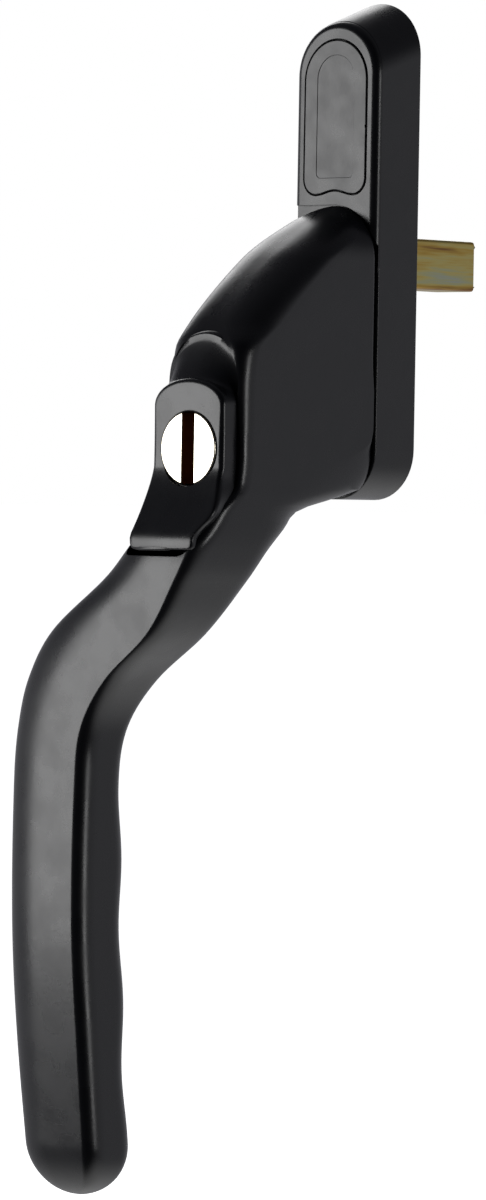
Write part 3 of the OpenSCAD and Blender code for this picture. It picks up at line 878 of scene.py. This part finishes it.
def boss_shift(x, z):
    """How far the boss's sides lean out and then in to the lip, below the barrel."""
    down = barrel_z() - z
    left = 0.2 * MM * ease(down, 3 * MM, 9 * MM)
    right = 0.9 * MM * ease(down, 3.5 * MM, 5 * MM) - 1.9 * MM * ease(down, 8.6 * MM, 3.6 * MM)
    share = min(max(0.5 + x / (12 * MM), 0), 1)
    return left * (1 - share) + right * share - 0.35 * MM


def boss_outline():
    """Broad and flat at the top, with straight sides down to the lip."""
    half, rise = 6.4 * MM, 3.6 * MM
    top, low = barrel_z() + 9.5 * MM, HOUSING_LOW.z + 0.05 * MM
    crown = [
        (half * math.cos(a), top - rise + rise * math.sin(a), 0, 0)
        for a in (math.pi * i / 60 for i in range(61))
    ]
    return crown + tombstone(half, top, low, 0.9 * MM)[49:]


def build_lock_housing():
    """A cast lock body: rounded rim, coved ramp, boss round the barrel and a lip below."""
    s = sizes()
    rows = lever_rows()
    lock, low = barrel_z(), HOUSING_LOW.z
    rim_y = rim_seat_y()
    rim_half = half_width() - 0.16 * MM
    angles = [2 * math.pi * k / 240 for k in range(240)]
    rim = reach_of(tombstone(rim_half, HOUSING_HIGH.z, low, 5 * MM), 0, lock, angles)
    boss = reach_of(boss_outline(), 0, lock, angles)
    bore = (BARREL_HIGH.x - BARREL_LOW.x) / 2 + FIT

    def lever_near(z):
        """The lever's columns, averaged over the height around z so that the rim is fair."""
        near = [lever_at(rows, z / MM + d) for d in (-2.5, -1.5, -0.5, 0.5, 1.5, 2.5)]
        return [sum(column) / len(near) * MM for column in zip(*near)]

    def rim_depth(x, z):
        """The rim stands proud of the lever in the middle and falls back at its sides."""
        proud, fall = 0.65 * MM, 1.9 * MM
        return lever_near(z)[1] - proud + fall * (x / rim_half) ** 2

    def ring(radii, share, depth):
        """Points at these radii; share is 1 on the rim and 0 on the boss."""
        points = []
        for a, r in zip(angles, radii):
            x, z = r * math.cos(a), lock + r * math.sin(a)
            centre, _, _, half = lever_near(z)[:4]
            on_rim = centre + x * half / half_width()
            points.append(Vector((
                share * on_rim + (1 - share) * (x + boss_shift(x, z)), depth(x, z), z,
            )))
        return points

    rings = [ring([r - inset for r in rim], 1, lambda x, z: rim_y)
             for inset in (0.9 * MM, 0.3 * MM)]
    for turn in range(0, 91, 15):
        a = math.radians(turn)
        rings.append(ring([r - s.rim_round * (1 - math.cos(a)) for r in rim], 1,
                          lambda x, z: rim_depth(x, z) + s.rim_round * (1 - math.sin(a))))
    steps = 16
    for i in range(steps + 1):
        t = i / steps
        radii, forward = [], []
        for a, r, b in zip(angles, rim, boss):
            power = 1.15 + (2.1 if math.cos(a) > 0 else 0.3) * math.cos(a) ** 2
            land = (0.02 + 0.68 * ease(math.sin(a), 0.25, 0.7)) * MM   # flat on the rim's top
            start = r - s.rim_round - land
            radii.append(start + (b - start) * (1 - (1 - t) ** power))
            forward.append(t ** power)
        points = ring(radii, 1 - t, lambda x, z: 0)
        for p, a, r, b, f in zip(points, angles, rim, boss, forward):
            x, z = (r - s.rim_round) * math.cos(a), lock + (r - s.rim_round) * math.sin(a)
            begin = rim_depth(x, z)
            p.y = begin + (face_y(lock + b * math.sin(a)) + s.boss_round - begin) * f
        rings.append(points)
    rounds = [s.boss_round * (1 - 0.5 * max(-math.sin(a), 0) ** 4) for a in angles]
    for turn in range(15, 91, 15):
        a = math.radians(turn)
        rings.append(ring([b - r * (1 - math.cos(a)) for b, r in zip(boss, rounds)], 0,
                          lambda x, z: face_y(z) + s.boss_round * (1 - math.sin(a))))
    mouth = bore - 0.4 * MM
    for i in range(1, 9):
        t = i / 8
        rings.append(ring([(b - r) * (1 - t) + mouth * t for b, r in zip(boss, rounds)], 0,
                          lambda x, z: face_y(z)))
    housing = loft("housing", rings)
    body = prism("body", tombstone(LOCK_HALF, lock + LOCK_RISE, lock - LOCK_RISE, 1 * MM),
                 [(HOUSING_HIGH.y, 0), (rim_y - 0.5 * MM, 0)])
    combine(housing, [body], "UNION")
    floor, shank_bore = 1.6 * MM, SHANK_R + FIT
    combine(housing, [
        flared_hole("well", bore, HOUSING_HIGH.y - floor, face_y(lock), 0, lock, 0.2 * MM),
        lathe("shank_bore", [(shank_bore, 0), (shank_bore, rim_y)], 0, lock),
    ], "DIFFERENCE")
    smooth(housing)
    housing.name = "lock_housing_casting"
    install(housing, powder_coat, "lever", ["lock_housing"])


def build_lock_barrel():
    """A turned barrel with a slot through its face, and the shank that carries the cam."""
    lock = barrel_z()
    r = (BARREL_HIGH.x - BARREL_LOW.x) / 2
    face, back = BARREL_LOW.y, BARREL_HIGH.y
    step = HOUSING_HIGH.y - 1.65 * MM
    rounding = ((0.16, 0), (0.07, 0.03), (0.02, 0.09), (0, 0.18))      # (back, in), in mm
    barrel = lathe("barrel", [
        (SHANK_R - 0.3 * MM, back), (SHANK_R, back - 0.3 * MM), (SHANK_R, step),
        (r, step - 0.01 * MM),
        *((r - inward * MM, face + behind * MM) for behind, inward in rounding),
    ], 0, lock, 96)
    half, depth, chamfer = sizes().slot / 2, 3.4 * MM, 0.1 * MM
    slot = prism("slot", box_outline(half, r + 1 * MM, 0.1 * MM, 0, lock, 2),
                 [(face + depth, 0), (face + 0.12 * MM, 0), (face - 0.02 * MM, -chamfer),
                  (face - PAST, -chamfer)])
    slot.data.materials.append(finish_of(bare_brass))
    barrel.data.materials.append(finish_of(bright_nickel))
    barrel.data.materials.append(finish_of(bare_brass))
    combine(barrel, [slot], "DIFFERENCE")
    for side in barrel.data.polygons:
        c = side.center
        deep = face + 0.13 * MM < c.y < face + depth + 0.1 * MM
        in_slot = deep and abs(c.x) < half + 0.02 * MM and abs(c.z - lock) < r + 0.5 * MM
        side.material_index = 1 if in_slot else 0
    smooth(barrel)
    barrel.name = "lock_barrel_turned"
    install(barrel, bright_nickel, "lock_barrel", ["lock_barrel"])


# ---------- spindle ----------


def build_spindle():
    """Cold-drawn square bar with rolled corners and a chamfered outer end."""
    half, end = BAR_HIGH.x, BAR_HIGH.y
    bar = prism(
        "bar", box_outline(half, half, 0.45 * MM, steps=5),
        [(end, 0.75 * MM), (end - 0.12 * MM, 0.6 * MM), (end - 0.75 * MM, 0.03 * MM),
         (end - 0.95 * MM, 0), (BAR_LOW.y + 0.5 * MM, 0), (BAR_LOW.y, 0.4 * MM)],
    )
    smooth(bar)
    bar.name = "spindle_bar"
    install(bar, yellow_zinc, "lever", ["spindle"])


# ---------- pieces whose CAD shape stays ----------

CAD_FINISHES = {
    "bearing_washer": natural_nylon,
    "upper_detent_guide": natural_nylon,
    "lower_detent_guide": natural_nylon,
    "wave_washer": spring_steel,
    "retaining_circlip": spring_steel,
    "barrel_circlip": spring_steel,
    "upper_detent_ball": spring_steel,
    "lower_detent_ball": spring_steel,
    "upper_detent_spring": spring_steel,
    "lower_detent_spring": spring_steel,
    "bolt_spring": spring_steel,
    "spindle_grub_screw": black_oxide,
    "lock_cam": cast_zinc,
    "locking_bolt": bright_nickel,
}


def dress_cad_node(name, maker):
    """Puts a finish on a CAD node."""
    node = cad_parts[name]
    node.data.materials.clear()
    node.data.materials.append(finish_of(maker))


# ---------- stage ----------


def floor_material():
    material, _, shader = new_material("pale_floor", linear("#f2f2f2"), 0.8)
    shader.inputs["Emission Color"].default_value = (1, 1, 1, 1)
    shader.inputs["Emission Strength"].default_value = 1.0
    return material


def build_floor():
    """A pale floor below the handle, seen by the camera and left out of its reflections."""
    z = CAD_BOX[0].z - 50 * MM
    reach = 30                             # metres, so that no edge shows
    points = [(-reach, -reach, z), (reach, -reach, z), (reach, reach, z), (-reach, reach, z)]
    floor = new_object("floor", points, [(0, 1, 2, 3)])
    floor.data.materials.append(floor_material())
    floor.visible_glossy = False
    floor.visible_diffuse = False


def direction(azimuth, elevation):
    """The way to a place at these degrees, azimuth 0 being the front and 90 the right."""
    a, e = math.radians(azimuth), math.radians(elevation)
    return Vector((math.sin(a) * math.cos(e), -math.cos(a) * math.cos(e), math.sin(e)))


def softbox(name, azimuth, elevation, distance, width, height, radiance):
    """An area light that looks at the handle's middle; radiance is its brightness."""
    light = bpy.data.lights.new(name, "AREA")
    light.shape = "RECTANGLE"
    light.size, light.size_y = width, height
    light.energy = radiance * width * height * math.pi
    box = bpy.data.objects.new(name, light)
    bpy.context.scene.collection.objects.link(box)
    middle = (CAD_BOX[0] + CAD_BOX[1]) / 2
    way = direction(azimuth, elevation)
    box.location = middle + way * distance
    box.rotation_mode = "QUATERNION"
    box.rotation_quaternion = way.to_track_quat("Z", "Y")
    box.visible_camera = False


def build_lights():
    """A key for the front faces, a strip for the right edges and a rim light from behind."""
    away = 0.8
    softbox("key", -38, 3, away, 0.38, 0.42, 5.3)
    softbox("strip", 94, 1, away, 0.14, 0.34, 6.0)
    softbox("rim", -130, 32, away, 0.46, 0.4, 2.2)


def build_world():
    """White to the camera; to the handle, a room that is dark on the camera's side."""
    world = bpy.data.worlds.new("studio")
    bpy.context.scene.world = world
    world.use_nodes = True
    tree = world.node_tree
    tree.nodes.clear()
    place = add_node(tree, "ShaderNodeTexCoord")
    split = add_node(tree, "ShaderNodeSeparateXYZ", (), [("Vector", place, "Generated")])
    ramp = add_node(tree, "ShaderNodeValToRGB")
    height = add_node(
        tree, "ShaderNodeMapRange",
        {"From Min": -1.0, "From Max": 1.0, "To Min": 0.0, "To Max": 1.0},
        [("Value", split, "Z")],
    )
    tree.links.new(height.outputs["Result"], ramp.inputs["Fac"])
    stops = ramp.color_ramp.elements       # from the bright floor below to the dark above
    stops[0].position, stops[0].color = 0.1, (1.1, 1.1, 1.1, 1)
    stops[1].position, stops[1].color = 0.7, (0.08, 0.08, 0.09, 1)
    stops.new(0.28).color = (0.42, 0.42, 0.44, 1)
    stops.new(0.52).color = (0.48, 0.48, 0.51, 1)
    side = add_node(
        tree, "ShaderNodeVectorMath",
        {"operation": "DOT_PRODUCT", 1: tuple(direction(30, 0))},
        [(0, place, "Generated")],
    )
    dark = add_node(
        tree, "ShaderNodeMapRange",
        {"From Min": 0.0, "From Max": 0.55, "To Min": 1.0, "To Max": 0.04},
        [("Value", side, "Value")],
    )
    room = add_node(
        tree, "ShaderNodeBackground", (),
        [("Color", ramp, "Color"), ("Strength", dark, "Result")],
    )
    backdrop = add_node(tree, "ShaderNodeBackground", {"Color": (1, 1, 1, 1)})
    path = add_node(tree, "ShaderNodeLightPath")
    mix = add_node(
        tree, "ShaderNodeMixShader", (),
        [("Fac", path, "Is Camera Ray"), (1, room, "Background"), (2, backdrop, "Background")],
    )
    add_node(tree, "ShaderNodeOutputWorld", (), [("Surface", mix, "Shader")])


def build_camera():
    """Looks from the right and level, at 900 mm from the spindle's axis, rolled 1 degree."""
    data = bpy.data.cameras.new("camera")
    data.sensor_width = 36
    data.lens = 194.1
    data.clip_start, data.clip_end = 0.01, 200
    camera = bpy.data.objects.new("camera", data)
    bpy.context.scene.collection.objects.link(camera)
    roll = Matrix.Rotation(math.radians(1), 3, "Z")
    turn = direction(42, 1).to_track_quat("Z", "Y").to_matrix() @ roll
    place = turn @ (Vector((-18.6, -46.9, 900)) * MM)      # across, up and back
    camera.matrix_world = Matrix.Translation(place) @ turn.to_4x4()
    bpy.context.scene.camera = camera
    bpy.context.scene.view_settings.view_transform = "Standard"


# ---------- operators and panel ----------


class HANDLE_OT_backplate(bpy.types.Operator):
    """Build the backplate casting with its raised pad, holes and rear hollow"""

    bl_idname = "handle.backplate"
    bl_label = "Backplate"

    def execute(self, context):
        build_backplate()
        return {"FINISHED"}


class HANDLE_OT_cover_cap(bpy.types.Operator):
    """Build the moulded cap that hides the upper screw"""

    bl_idname = "handle.cover_cap"
    bl_label = "Cover cap"

    def execute(self, context):
        build_cover_cap()
        return {"FINISHED"}


class HANDLE_OT_lever(bpy.types.Operator):
    """Build the cast lever with its journal, socket and lock seat"""

    bl_idname = "handle.lever"
    bl_label = "Lever"

    def execute(self, context):
        build_lever()
        return {"FINISHED"}


class HANDLE_OT_lock(bpy.types.Operator):
    """Build the lock housing and its slotted barrel"""

    bl_idname = "handle.lock"
    bl_label = "Lock"

    def execute(self, context):
        build_lock_housing()
        build_lock_barrel()
        return {"FINISHED"}


class HANDLE_OT_spindle(bpy.types.Operator):
    """Build the square spindle bar"""

    bl_idname = "handle.spindle"
    bl_label = "Spindle"

    def execute(self, context):
        build_spindle()
        return {"FINISHED"}


class HANDLE_OT_inner_pieces(bpy.types.Operator):
    """Finish the clips, washers, guides, balls, springs, cam and bolt"""

    bl_idname = "handle.inner_pieces"
    bl_label = "Inner pieces"

    def execute(self, context):
        for name, maker in CAD_FINISHES.items():
            dress_cad_node(name, maker)
        return {"FINISHED"}


class HANDLE_OT_stage(bpy.types.Operator):
    """Build the floor, lights, surroundings and camera"""

    bl_idname = "handle.stage"
    bl_label = "Stage"

    def execute(self, context):
        build_floor()
        build_lights()
        build_world()
        build_camera()
        return {"FINISHED"}


OPERATORS = (HANDLE_OT_backplate, HANDLE_OT_cover_cap, HANDLE_OT_lever, HANDLE_OT_lock,
             HANDLE_OT_spindle, HANDLE_OT_inner_pieces, HANDLE_OT_stage)


class HANDLE_PT_panel(bpy.types.Panel):
    """Sizes, colours and build steps of the window handle"""

    bl_label = "Window Handle"
    bl_idname = "HANDLE_PT_panel"
    bl_space_type = "VIEW_3D"
    bl_region_type = "UI"
    bl_category = "Window Handle"

    def draw(self, context):
        for group in (context.scene.handle_sizes, context.scene.handle_colours):
            column = self.layout.box().column(align=True)
            for name in group.__annotations__:
                column.prop(group, name)
        column = self.layout.column(align=True)
        for operator in OPERATORS:
            column.operator(operator.bl_idname)


CLASSES = (HandleSizes, HandleColours, *OPERATORS, HANDLE_PT_panel)


def register():
    for cls in CLASSES:
        bpy.utils.register_class(cls)
    bpy.types.Scene.handle_sizes = bpy.props.PointerProperty(type=HandleSizes)
    bpy.types.Scene.handle_colours = bpy.props.PointerProperty(type=HandleColours)


def unregister():
    del bpy.types.Scene.handle_colours
    del bpy.types.Scene.handle_sizes
    for cls in reversed(CLASSES):
        bpy.utils.unregister_class(cls)


def main():
    register()
    bpy.ops.handle.backplate()
    bpy.ops.handle.cover_cap()
    bpy.ops.handle.lever()
    bpy.ops.handle.lock()
    bpy.ops.handle.spindle()
    bpy.ops.handle.inner_pieces()
    bpy.ops.handle.stage()


if __name__ == "__main__":
    main()
